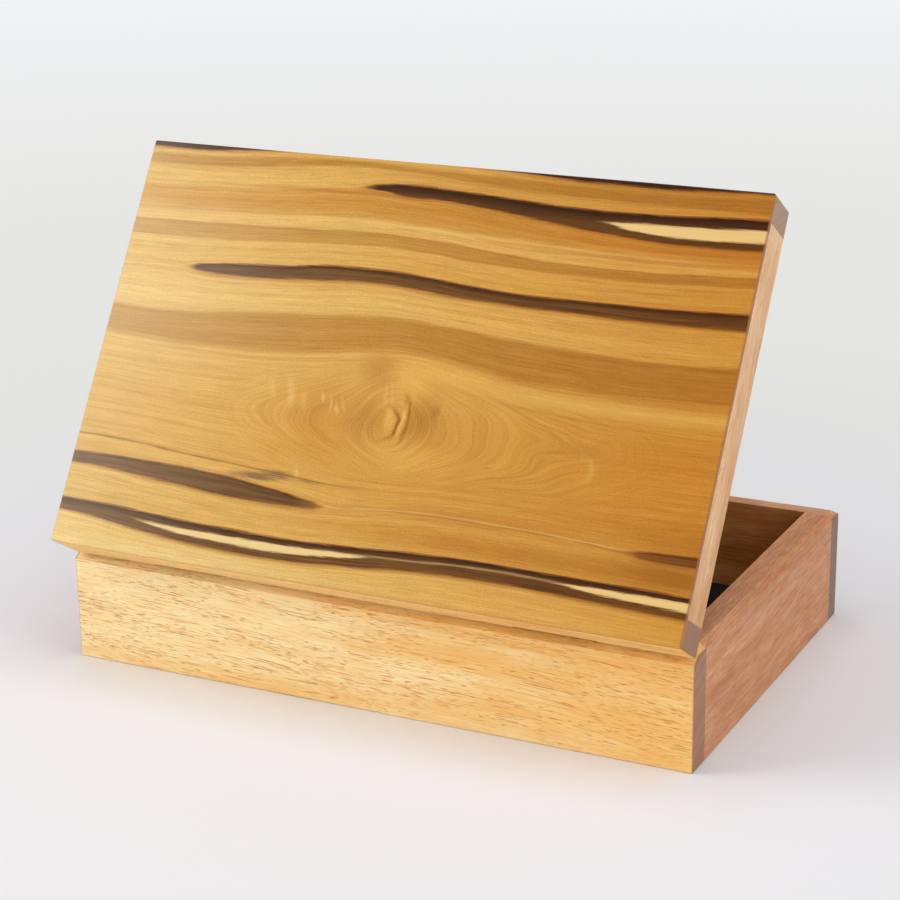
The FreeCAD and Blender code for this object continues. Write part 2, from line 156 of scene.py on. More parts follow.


# ---------------- streaked lid panel

# Drawn seams of the lid panel's figure. Each gives millimetres up the panel from its hinge
# edge at places in millimetres along its length from the middle.
SEAMS = {
    "low_streak_under": {-150: 15.2, -130: 13.5, -110: 11.3, -90: 9.5, -70: 8.4, -40: 8.1, -20: 8.7,
        0: 10.2, 20: 12, 45: 13.4, 75: 13.4, 100: 12.6, 125: 11.8, 150: 11.2},
    "low_core_under": {-150: 16.2, -125: 15.9, -110: 15.1, -98: 13.4, -85: 12.3, -65: 11.4, -40: 11.1,
        -20: 11.7, 0: 14, 12: 15.9, 25: 16.6, 45: 17.3, 75: 17.8, 90: 17.2, 105: 15.8, 125: 14.8,
        150: 13.9},
    "low_core_over": {-150: 16.3, -125: 16.3, -110: 16.2, -98: 15.8, -80: 15.3, -50: 15.3, -20: 15.6,
        0: 16.2, 12: 16.5, 25: 17, 45: 17.9, 65: 18.6, 80: 18.3, 95: 18.4, 110: 18.8, 130: 18.7,
        150: 18.4},
    "low_streak_over": {-150: 20.6, -120: 20, -90: 18.6, -60: 17.8, -35: 17.5, -10: 18.3, 20: 20.1, 50: 21,
        90: 21, 120: 20.8, 150: 20.2},
    "short_streak_under": {-150: 37.2, -130: 36.8, -110: 35.2, -90: 33.6, -70: 32.4, -40: 31.8, -25: 32.4,
        -15: 33.8, 0: 35.1, 20: 36.8, 40: 37.4, 70: 37.1, 100: 35.8, 118: 34.4, 130: 32.8, 150: 32.8},
    "short_streak_over": {-150: 42, -125: 42.4, -100: 42, -80: 41.5, -65: 40.6, -52: 39, -40: 37.3,
        -30: 35.8, -15: 34.2, 0: 35.4, 20: 37.2, 40: 37.8, 70: 37.6, 100: 36.3, 118: 35.6, 130: 36.1,
        150: 36.6},
    "hair_line": {-150: 51, -130: 50.6, -100: 48.6, -60: 46.3, -40: 45.2, -20: 44, 0: 44, 40: 46, 100: 47,
        150: 48},
    "brown_band_under": {-150: 97.5, -100: 95.8, -60: 97, -40: 99, -20: 102, 0: 104, 20: 102.5, 35: 99.5,
        60: 97, 100: 96, 150: 97},
    "brown_band_over": {-150: 114, -110: 114.2, -80: 116.8, -50: 119.2, -20: 121.8, 0: 121.8, 20: 120.6,
        50: 118.2, 90: 116.3, 120: 116, 150: 117.4},
    "long_streak_under": {-150: 133, -120: 133, -105: 131.7, -90: 131.5, -60: 133, -30: 134.8, -15: 134.9,
        10: 133.5, 40: 132, 75: 131.2, 110: 131.1, 150: 132},
    "long_streak_over": {-150: 133.2, -120: 133.4, -105: 135.6, -80: 137.8, -65: 138.6, -45: 140.8,
        -30: 141, 0: 140.2, 20: 138.9, 45: 137.2, 60: 136.9, 90: 137.2, 120: 137.7, 150: 138.8},
    "dull_band_under": {-150: 146.3, -100: 147, -70: 148.6, -40: 150.6, -15: 151, 0: 150.4, 30: 148.2,
        60: 147.4, 100: 147.2, 130: 148.5, 150: 149.5},
    "dull_band_over": {-150: 155, -100: 155.8, -60: 157.4, -35: 158.5, -10: 158.5, 15: 157, 40: 154.6,
        70: 153.4, 100: 153.2, 130: 154.6, 150: 155.6},
    "top_streak_under": {-150: 171, -80: 173.5, -45: 177.2, -30: 177.4, -15: 175.9, 0: 175.6, 20: 174.2,
        40: 172, 60: 169.8, 80: 167.8, 100: 166.3, 120: 166, 150: 166.4},
    "top_core_under": {-150: 171.1, -80: 173.6, -45: 177.3, -30: 178.7, 0: 178.2, 40: 175.2, 66: 173,
        80: 171.8, 90: 169.6, 100: 168.7, 120: 168.4, 150: 169.3},
    "top_core_over": {-150: 171.2, -80: 173.7, -45: 177.4, -30: 178.8, 0: 178.3, 40: 175.3, 66: 173.3,
        80: 173.5, 100: 174, 120: 174.6, 150: 175.8},
    "top_streak_over": {-150: 171.3, -80: 173.8, -45: 177.5, -30: 180, -15: 181.3, 0: 180.8, 20: 180,
        40: 178.6, 60: 177.7, 90: 177.5, 110: 178, 130: 179.1, 150: 179.8},
    "red_band_under": {-150: 180.8, -100: 181.9, -80: 183.8, -50: 186.4, -20: 186.3, 0: 185.3, 30: 183,
        60: 182, 100: 181.5, 150: 181.3},
    "red_band_over": {-150: 187.4, -100: 188.7, -80: 190.2, -50: 191.2, 0: 189.7, 40: 189.3, 100: 188.5,
        150: 190},
    "rim_streak_under": {-150: 189.5, -115: 189.8, -95: 191, -80: 192.3, -50: 193.5, 0: 193, 20: 192,
        50: 190.6, 80: 189.8, 105: 189.7, 125: 190.3, 140: 190.8, 150: 191},
    "rim_streak_over": {-150: 199, 150: 199},
    "pale_thread": {-150: 159, -100: 159.8, -60: 162, -30: 162.9, 0: 161.6, 40: 160.3, 80: 158.9,
        150: 159.5},
    "pale_thread_low": {-150: 140, 0: 162, 40: 156.5, 80: 156.2, 110: 155.9, 150: 157},
    "red_thread": {-150: 171.5, -80: 174.7, -50: 175.2, -10: 175.2, 150: 160},
    "bright_edge": {-150: 94, -60: 93.5, -20: 97, 0: 100, 20: 98, 40: 95, 70: 92.8, 110: 92.2, 150: 92.6},
    "dark_thread": {-150: 84, 30: 90, 60: 88.4, 80: 86.8, 110: 85.4, 150: 84.6},
}

# Seams in order up the panel, which the plain grain follows.
GRAIN_GUIDES = (
    "low_streak_under", "low_streak_over", "short_streak_under", "short_streak_over", "hair_line",
    "brown_band_under", "brown_band_over", "long_streak_under", "long_streak_over", "dull_band_under",
    "dull_band_over", "top_streak_under", "top_streak_over", "rim_streak_under")


def draw_through(curve, points):
    """Draws the line of a curve node through the points."""
    mapping = curve.node.mapping
    line = mapping.curves[0].points
    line[0].location = points[0]
    line[1].location = points[-1]
    for point in points[1:-1]:
        line.new(*point)
    mapping.update()


def seam(add, along, name):
    """The height of a drawn seam, as a share of SEAM_SCALE, at the place along the panel."""
    height = add("FloatCurve", {"Value": along})
    draw_through(height, [
        ((u + HALF_LENGTH) / (2 * HALF_LENGTH), v / SEAM_SCALE) for u, v in SEAMS[name].items()])
    return height


def between(add, value, low, high, soft_low, soft_high):
    """1 between two seams, falling to 0 inside each within its softness in millimetres."""
    low_full = add("Math ADD", (low, soft_low / SEAM_SCALE))
    high_full = add("Math SUBTRACT", (high, soft_high / SEAM_SCALE))
    rise = add("MapRange", (value, low, low_full), **SMOOTH)
    fall = add("MapRange", (value, high, high_full), **SMOOTH)
    return add("Math MULTIPLY", (rise, fall))


def blot(add, u, v, at_u, at_v, half_u, half_v, soft=1.0):
    """An oval mark: 1 at its centre, 0 outside its half sizes in millimetres."""
    across = add("Math SUBTRACT", (u, at_u))
    across = add("Math DIVIDE", (across, half_u))
    up = add("Math SUBTRACT", (v, at_v))
    up = add("Math DIVIDE", (up, half_v))
    offset = add("CombineXYZ", (across, up))
    distance = add("VectorMath LENGTH", (offset,), "Value")
    return add("MapRange", (distance, 1.0 - soft, 1.0, 1.0, 0.0), **SMOOTH)


def lay(add, under, over, mask, *shares):
    """Lays one colour over another where the mask says, as far as all the shares say."""
    for share in shares or (1.0,):
        mask = add("Math MULTIPLY", (mask, share))
    return add("Mix", {0: mask, 6: under, 7: over}, 2, data_type="RGBA")


def lid_space(add, pin_at):
    """Object coordinates in millimetres, turned level with the closed lid and moved so that the
    hinge pin is at pin_at."""
    turn = Matrix.Rotation(-LID_ANGLE, 3, "X")
    return in_mm(add, Rotation=(-LID_ANGLE, 0.0, 0.0), Location=Vector(pin_at) - turn @ PIN)


def panel_places(add):
    """Places on the lid panel: its own space in millimetres, the seams, and the space that the plain
    grain runs along. Heights that are compared with seams are shares of SEAM_SCALE."""
    # Panel space in millimetres: x along the length, y up the panel, z out of its face.
    flat = lid_space(add, PIN_ON_PANEL)
    u = add("SeparateXYZ", (flat,))
    v = u.node.outputs["Y"]
    depth = u.node.outputs["Z"]

    # Fibres pull every edge about by a fraction of a millimetre, and a slow drift by half of one.
    fibres = stretched(add, flat, (0.035, 0.9, 0.9), 4.0)
    drift = stretched(add, flat, (0.02, 0.06, 0.06), 1.0)
    pull = add("Math MULTIPLY_ADD", (fibres, 1.5, -0.75))
    wander = add("Math MULTIPLY_ADD", (drift, 1.2, -0.6))
    moved = add("Math ADD", (v, pull))
    moved = add("Math ADD", (moved, wander))
    height = add("Math DIVIDE", (moved, SEAM_SCALE))
    along = add("MapRange", (u, -HALF_LENGTH, HALF_LENGTH))
    seams = {name: seam(add, along, name) for name in SEAMS}

    # The plain grain runs level with its nearest seams: each gap between two guides is stretched
    # to its own mean width.
    level = 0.0
    low, low_mean = 0.0, 0.0
    for name in GRAIN_GUIDES:
        mean = sum(SEAMS[name].values()) / len(SEAMS[name])
        least = add("Math ADD", (low, LEAST_GAP / SEAM_SCALE))
        high = add("Math MAXIMUM", (seams[name], least))
        step = add("MapRange", (height, low, high, 0.0, mean - low_mean))
        level = add("Math ADD", (step, level))
        low, low_mean = high, mean
    grain = add("CombineXYZ", (u, level, depth))
    return SimpleNamespace(
        flat=flat, u=u, v=v, moved=moved, height=height, along=along, seams=seams, grain=grain,
        level=level)


def broad_colour(add, wood, p):
    """Slow changes of colour up the panel."""
    share = add("Math DIVIDE", (p.level, PANEL_DEPTH))
    colour = add("ValToRGB", {"Fac": share})
    plain = (
        (0.0, wood.pale_gold), (0.05, wood.pale_gold), (0.12, wood.gold), (0.19, wood.gold),
        (0.25, wood.honey), (0.38, wood.honey), (0.48, wood.gold), (0.56, wood.gold),
        (0.64, wood.pale_gold), (0.7, wood.gold), (0.75, wood.gold), (0.81, wood.pale_gold),
        (0.87, wood.amber), (0.93, wood.gold), (1.0, wood.gold))
    stops = colour.node.color_ramp.elements
    stops[0].color = (*plain[0][1], 1.0)
    stops[1].color = (*plain[-1][1], 1.0)
    for position, shade in plain[1:-1]:
        stops.new(position).color = (*shade, 1.0)
    return colour


def add_knot(add, wood, p):
    """Adds the knot's rings to the places: near round at the heart and drawn out along the grain
    further off."""
    p.off = add("Math SUBTRACT", (p.u, wood.knot_along / MM))
    off_size = add("Math ABSOLUTE", (p.off,))
    reach = add("MapRange", (off_size, 0.0, KNOT_REACH))
    reach = add("FloatCurve", {"Value": reach})
    draw_through(reach, RING_SIZES)
    reach = add("Math MULTIPLY", (reach, RING_REACH))
    rise = add("Math SUBTRACT", (p.v, wood.knot_up / MM))
    ring_place = add("CombineXYZ", (reach, rise))
    swirl = sway(add, stretched(add, p.flat, (0.022, 0.045, 0.045), 1.0, "Color"), 7.0)
    ring_place = add("VectorMath ADD", (ring_place, swirl))
    p.ring = add("VectorMath LENGTH", (ring_place,), "Value")
    p.knot_zone = between(add, p.height, p.seams["hair_line"], p.seams["brown_band_under"], 12.0, 10.0)
    for outer, inner in KNOT_FADES:
        side = add("MapRange", (p.off, outer, inner), **SMOOTH)
        p.knot_zone = add("Math MULTIPLY", (p.knot_zone, side))


def growth_lines(add, wood, p, colour):
    """Growth lines and, in some bands, dull heartwood."""
    # Growth lines, 2 to 3 mm apart, that turn from the plain grain to the knot's rings.
    lines = stretched(add, p.grain, (0.006, 0.5, 0.2), 5.0, Roughness=0.6)
    ring_shift = add("Math MULTIPLY", (p.off, 0.012))
    p.ring_line_place = add("CombineXYZ", (p.ring, ring_shift))
    ring_lines = add("TexNoise", {
        "Vector": p.ring_line_place, "Scale": 1.3, "Detail": 3.0, "Roughness": 0.6})
    figure = add("Mix", {0: p.knot_zone, 2: lines, 3: ring_lines})
    calm = add("MapRange", (p.knot_zone, 0.0, 1.0, 1.0, wood.ring_share))
    heart_calm = add("MapRange", (p.ring, 3.0, 13.0, 0.3))
    calm = add("Math MULTIPLY", (calm, heart_calm))
    deep = add("MapRange", (figure, 0.38, 0.54, 0.45, 0.0))
    deep = add("Math MULTIPLY", (deep, calm))
    lighter = add("MapRange", (figure, 0.52, 0.66))
    lighter = add("Math MULTIPLY", (lighter, calm))
    colour = add("Mix", {0: deep, 6: colour, 7: wood.deep_stain}, 2, **STAIN)
    colour = lay(add, colour, wood.bright, lighter, 0.28)

    # Bands of dull heartwood with darker veins in them.
    veins = stretched(add, p.grain, (0.018, 1.2, 1.0), 4.0)
    p.vein_share = add("MapRange", (veins, 0.36, 0.66))
    dull = lay(add, wood.brown, wood.red_brown, p.vein_share, 0.35)
    dull_share = add("MapRange", (lines, 0.3, 0.6, 1.0, 0.75))
    for band, soft_low, soft_high, strength in (
            ("brown_band", 5.0, 2.6, 0.95), ("dull_band", 1.4, 1.2, 0.9), ("red_band", 1.6, 2.2, 1.0)):
        low, high = p.seams[band + "_under"], p.seams[band + "_over"]
        mask = between(add, p.height, low, high, soft_low, soft_high)
        colour = lay(add, colour, dull, mask, dull_share, strength)
    return colour


def shades_and_fibres(add, wood, p, colour):
    """Broad shades round the knot, and the fine grain over everything so far."""
    # Shades round the knot and towards the right-hand corner: places and half sizes of blots.
    for *place, shade, strength in (
            (-32, 74, 36, 22, wood.amber, 0.85), (-9, 74, 15, 15, wood.brown, 0.65),
            (17, 77, 12, 15, wood.brown, 0.9), (8, 95, 17, 12, wood.bright, 0.8),
            (27, 98.5, 28, 7, wood.bright, 0.75), (-9, 96, 13, 15, wood.brown, 0.55),
            (14, 60, 28, 10, wood.bright, 0.5), (-30, 58, 30, 12, wood.amber, 0.4),
            (22, 82, 3, 5, wood.heart, 0.35), (1.2, 76, 3.6, 9, wood.bright, 0.9),
            (8, 79, 2, 8, wood.bright, 0.4), (20, 171, 60, 6, wood.brown, 0.45),
            (140, 27, 50, 9, wood.red_brown, 0.8), (100, 43, 70, 14, wood.amber, 0.45),
            (150, 41, 48, 13, wood.brown, 0.7), (50, 27, 110, 8, wood.amber, 0.9),
            (90, 27, 90, 7, wood.brown, 0.4), (50, 38, 70, 6, wood.amber, 0.85),
            (55, 144, 45, 4, wood.bright, 0.5), (60, 185, 110, 6, wood.brown, 0.7),
            (90, 190, 70, 3, wood.red_brown, 0.5), (40, 166, 120, 8, wood.amber, 0.5),
            (-28, 169, 60, 8, wood.amber, 0.75), (105, 3, 90, 9, wood.ripple, 0.45),
            (-70, 2, 130, 6, wood.cream, 0.5), (-140, 46, 40, 5, wood.amber, 0.5),
            (110, 75, 60, 24, wood.amber, 0.3)):
        mask = blot(add, p.u, p.v, *place)
        colour = lay(add, colour, shade, mask, strength)

    # Fibres about half a millimetre apart.
    plain_fine = stretched(add, p.grain, (0.06, 2.4, 1.5), 3.0)
    ring_fine = stretched(add, p.ring_line_place, (1.9, 4.0, 1.0), 3.0)
    p.fine = add("Mix", {0: p.knot_zone, 2: plain_fine, 3: ring_fine})
    tone = add("MapRange", (p.fine, 0.3, 0.7, 0.86, 1.12))
    specks = stretched(add, p.grain, (0.9, 2.4, 2.4), 2.0)
    speck_tone = add("MapRange", (specks, 0.3, 0.7, 0.9, 1.1))
    p.fine_tone = add("Math MULTIPLY", (tone, speck_tone))
    return add("VectorMath SCALE", {0: colour, "Scale": p.fine_tone})


def mineral_streaks(add, wood, p, colour):
    """Near-black streaks, darkest along the upper edge, with fine veins and an orange line below.
    Their edges fray over half a millimetre."""
    fray = stretched(add, p.flat, (0.12, 2.6, 2.6), 3.0)
    fray = add("Math SUBTRACT", (fray, 0.5))
    p.frayed = add("Math MULTIPLY_ADD", (fray, FRAY / SEAM_SCALE, p.height))
    for streak, soft_low, soft_high, dark_edge, light, tip_mm in (
            ("low_streak", 1.4, 1.2, 4.0, 0.9, 2.6), ("short_streak", 1.2, 1.1, 1.8, 0.8, 4.6),
            ("long_streak", 1.4, 1.2, 2.9, 0.8, 2.6), ("top_streak", 1.0, 1.2, 6.5, 0.4, 2.6),
            ("rim_streak", 1.2, 0.8, 30.0, 0.2, 2.6)):
        low, high = p.seams[streak + "_under"], p.seams[streak + "_over"]
        thick = add("Math SUBTRACT", (high, low))
        present = add("MapRange", (thick, 0.5 / SEAM_SCALE, 2.5 / SEAM_SCALE))
        tip = add("MapRange", (thick, 0.3 / SEAM_SCALE, tip_mm / SEAM_SCALE))
        swell = add("Math MULTIPLY", (present, 0.5 / SEAM_SCALE))
        low = add("Math SUBTRACT", (low, swell))
        high = add("Math ADD", (high, swell))
        gap = add("Math SUBTRACT", (p.height, low))
        glow = add("MapRange", (gap, -1.2 / SEAM_SCALE, 0.8 / SEAM_SCALE))
        below = add("Math LESS_THAN", (p.height, high))
        colour = lay(add, colour, wood.heart, glow, present, below, 0.7)
        mask = between(add, p.frayed, low, high, soft_low, soft_high)
        mask = add("Math MULTIPLY", (mask, tip))
        inside = add("Math SUBTRACT", (high, p.height))
        full_dark, dark = 0.3 * dark_edge / SEAM_SCALE, dark_edge / SEAM_SCALE
        edge = add("MapRange", (inside, full_dark, dark, 1.0, 0.0))
        shade = lay(add, wood.streak, wood.streak_light, p.vein_share, light)
        shade = lay(add, shade, wood.streak_edge, edge, 0.95)
        shade = add("VectorMath SCALE", {0: shade, "Scale": p.fine_tone})
        colour = lay(add, colour, shade, mask)
    return colour


def heart_of_knot(add, wood, p, colour):
    """Crescents and curls at the knot, and the relief that goes with them."""
    # Crescents at the heart of the knot, open to the left, each part of a circle's edge.
    ragged = add("TexNoise", {"Vector": p.flat, "Scale": 0.16, "Detail": 1.0}, "Color")
    ragged = sway(add, ragged, 3.0)
    curled = add("VectorMath ADD", (p.flat, ragged))
    curled_u = add("SeparateXYZ", (curled,))
    curled_v = curled_u.node.outputs["Y"]
    relief = add("Math MULTIPLY", (p.fine, 0.3))
    for centre, radius, half_width, half_height, shade, strength in (
            ((-2.6, 74), 8.4, 1.7, 9.0, wood.heart, 1.0),
            ((-13.3, 76), 23.6, 1.6, 13.0, wood.heart, 0.85),
            ((-8, 84), 15.2, 1.2, 6.0, wood.heart, 0.35),
            ((-30, 74), 43.0, 1.5, 12.0, wood.heart, 0.25),
            ((-20, 76), 27.5, 1.0, 9.0, wood.bright, 0.5),
            ((91, 65.5), 6.5, 2.2, 8.0, wood.bright, 0.22)):
        across = add("Math SUBTRACT", (curled_u, centre[0]))
        up = add("Math SUBTRACT", (curled_v, centre[1]))
        spoke = add("CombineXYZ", (across, up))
        spoke = add("VectorMath LENGTH", (spoke,), "Value")
        spoke = add("Math SUBTRACT", (spoke, radius))
        spoke = add("Math ABSOLUTE", (spoke,))
        mask = add("MapRange", (spoke, 0.0, half_width, 1.0, 0.0), **SMOOTH)
        up = add("Math ABSOLUTE", (up,))
        reach_up = add("MapRange", (up, 0.4 * half_height, half_height, 1.0, 0.0))
        right_side = add("Math GREATER_THAN", (across, 0.0))
        mask = add("Math MULTIPLY", (mask, reach_up))
        mask = add("Math MULTIPLY", (mask, right_side))
        colour = lay(add, colour, shade, mask, strength)
        lift = -0.5 if shade == wood.heart else 0.4
        relief = add("Math MULTIPLY_ADD", (mask, lift, relief))

    # Curls: short strokes across the grain that catch the light, leaning to the left.
    lean = add("Math SUBTRACT", (curled_v, 79.0))
    lean = add("Math MULTIPLY_ADD", (lean, 0.28, curled_u))
    for *place, shade, strength in (
            (-47.5, 82, 3.2, 10, wood.ripple, 0.28), (-43.5, 80, 2.4, 8, wood.amber, 0.4),
            (-41, 79, 2.2, 7, wood.ripple, 0.22), (-52, 84, 2.6, 9, wood.amber, 0.35),
            (-31.5, 81.5, 1.3, 4.6, wood.ripple, 0.36), (-29.8, 81, 1.2, 4, wood.amber, 0.45),
            (-28, 79, 1.3, 5.6, wood.ripple, 0.36), (-26.5, 79, 1.2, 4, wood.amber, 0.45),
            (-25, 77.5, 1.3, 5, wood.ripple, 0.32), (-21.5, 80, 1.4, 6, wood.ripple, 0.2),
            (-57, 82, 2.6, 8, wood.ripple, 0.18), (-1, 86, 1.5, 8, wood.bright, 0.3),
            (2, 87, 1.2, 8, wood.bright, 0.25), (-3.5, 87, 1.5, 7, wood.amber, 0.35),
            (-45.5, 47, 1.8, 5, wood.ripple, 0.26)):
        mask = blot(add, lean, curled_v, *place)
        colour = lay(add, colour, shade, mask, strength)
        if shade == wood.ripple:
            relief = add("Math MULTIPLY_ADD", (mask, 0.5, relief))
    return colour, relief


def threads_and_cores(add, wood, p, colour):
    """Thin lines beside the streaks, and the pale wood inside them."""
    # Threads: thin lines that run with the grain over part of the length, fading in from start[0]
    # to start[1] and out from end[1] to end[0].
    for name, half_width, start, end, shade, strength in (
            ("pale_thread", 1.4, (-140, -100), (150, 60), wood.ripple, 0.3),
            ("pale_thread_low", 0.9, (-40, 0), (151, 150), wood.ripple, 0.2),
            ("red_thread", 1.3, (-120, -60), (0, -15), wood.heart, 0.5),
            ("bright_edge", 4.2, (0, 60), (151, 150), wood.bright, 0.35),
            ("dark_thread", 0.7, (40, 62), (151, 150), wood.red_brown, 0.35),
            ("low_core_over", 0.7, (0, 12), (100, 80), wood.core_right, 0.4),
            ("hair_line", 0.6, (-170, -160), (0, -40), wood.streak, 0.6),
            ("short_streak_over", 0.6, (-22, -14), (130, 110), wood.ripple, 0.42),
            ("short_streak_under", 0.8, (-20, -12), (125, 118), wood.heart, 0.5)):
        gap = add("Math SUBTRACT", (p.height, p.seams[name]))
        gap = add("Math ABSOLUTE", (gap,))
        mask = add("MapRange", (gap, 0.0, half_width / SEAM_SCALE, 1.0, 0.0))
        starting = add("MapRange", (p.u, *start))
        ending = add("MapRange", (p.u, *end))
        colour = lay(add, colour, shade, mask, starting, ending, strength)

    # Pale wood inside the streaks.
    core = lay(add, wood.cream, wood.core_right, p.along)
    core = lay(add, core, wood.ripple, p.vein_share, 0.5)
    for name, soft in (("low_core", 0.9), ("top_core", 1.2)):
        low, high = p.seams[name + "_under"], p.seams[name + "_over"]
        mask = between(add, p.frayed, low, high, soft, soft)
        thick = add("Math SUBTRACT", (high, low))
        full = add("MapRange", (thick, 0.2 / SEAM_SCALE, 2.4 / SEAM_SCALE))
        colour = lay(add, colour, core, mask, full, 0.95)
    return colour


def panel_material(wood):
    """Black limba: golden wood with near-black mineral streaks, cut thin, sanded fine and sprayed
    with satin lacquer. The eye sees warm depth, crisp streaks and a soft broad sheen."""
    material, add = new_material("black_limba_satin_lacquer")
    p = panel_places(add)
    colour = broad_colour(add, wood, p)
    add_knot(add, wood, p)
    for layer in (growth_lines, shades_and_fibres, mineral_streaks):
        colour = layer(add, wood, p, colour)

    # Painted sheen: the wood is painted paler at the left-hand end, standing in for the lacquer's soft
    # reflection there. It deepens to orange towards the right-hand end.
    haze = add("MapRange", (p.u, -HALF_LENGTH, HAZE_END, 1.0, 0.0))
    colour = lay(add, colour, wood.left_haze, haze, 0.07)
    colour = add("Mix", {0: p.along, 6: colour, 7: wood.right_tone}, 2, **STAIN)

    colour, relief = heart_of_knot(add, wood, p, colour)
    colour = threads_and_cores(add, wood, p, colour)

    # Small marks: the smoky patch beside the short streak, and two flecks.
    smoke = add("MapRange", (p.fine, 0.62, 0.42, 0.3, 1.0))
    for *place, strength in (
            (-58, 42.8, 17, 2.4, 0.95), (-47, 44.2, 13, 3.4, 1.0), (-28, 43.9, 11, 1.2, 0.7),
            (51.5, 61, 3, 0.5, 0.8), (137, 56, 0.7, 0.6, 0.7)):
        mask = blot(add, p.u, p.moved, *place, 0.7)
        colour = lay(add, colour, wood.smoke, mask, smoke, strength)

    # End grain at the two short edges drinks the lacquer and goes darker.
    from_middle = add("Math ABSOLUTE", (p.u,))
    end_share = add("MapRange", (from_middle, HALF_LENGTH - 0.5, HALF_LENGTH - 0.1))
    colour = lay(add, colour, wood.heart, end_share, 0.7)

    roughness = add("MapRange", (p.fine, 0.3, 0.7, wood.roughness - 0.03, wood.roughness + 0.04))
    finish_surface(add, colour, roughness, relief, RELIEF, Specular_IOR_Level=0.25)
    return material


# ---------------- plain timber

def pore_dashes(add, wood, grain, pore_share, long_share):
    """Pores: short dashes, thick in some bands and rare in others, and a few long ones in between."""
    pore_mask = 0.0
    wide = wood.pore_width / MM
    for longer, rare, crowd_seed, crowd_size in (
            (1.0, 0.675, 0.0, (0.02, 0.16, 0.18)), (5.0, 0.7, 7.3, (0.01, 0.16, 0.2))):
        pore_scale = (MM / (wood.pore_length * longer), 1 / wide, 1 / wide)
        pores = stretched(add, grain, pore_scale, 0.0)
        crowd_place = add("Mapping", {"Vector": grain, "Scale": crowd_size})
        crowd = add("TexNoise", {
            "Vector": crowd_place, "W": crowd_seed, "Scale": 1.0, "Detail": 2.0}, noise_dimensions="4D")
        threshold = add("MapRange", (crowd, 0.32, 0.62, rare + 0.09, rare - 0.09 * pore_share))
        over = add("Math SUBTRACT", (pores, threshold))
        mask = add("MapRange", (over, 0.0, 0.11))
        pore_mask = add("Math MAXIMUM", (mask, pore_mask))
    return add("Math MULTIPLY", (pore_mask, long_share))


def end_grain(add, wood, board, grain, seed):
    """End grain: pore dots and faint growth arcs."""
    dot_place = add("Mapping", {"Vector": grain, "Scale": (0.5, 2.4, 2.4)})
    dots = add("TexVoronoi", {"Vector": dot_place, "Scale": 1.0})
    dot_tone = add("MapRange", (dots, 0.1, 0.45, 0.72, 1.05))
    arc_centre = add("Mapping", {
        "Vector": board, "Location": (0.0, 40.0 + 9.0 * seed, 60.0), "Scale": (0.0, 1.0, 1.0)})
    arc = add("VectorMath LENGTH", (arc_centre,), "Value")
    arc_place = add("CombineXYZ", (arc, float(seed)))
    arcs = add("TexNoise", {"Vector": arc_place, "Scale": 0.7, "Detail": 3.0})
    arc_tone = add("MapRange", (arcs, 0.3, 0.7, 0.86, 1.12))
    end_tone = add("Math MULTIPLY", (dot_tone, arc_tone))
    front_share = add("Math GREATER_THAN", (add("SeparateXYZ", (board,), "Y"), 0.0))
    end_colour = add("Mix", {
        0: front_share, 6: wood.end_grain, 7: wood.front_end_grain}, 2, data_type="RGBA")
    return add("VectorMath SCALE", {0: end_colour, "Scale": end_tone})


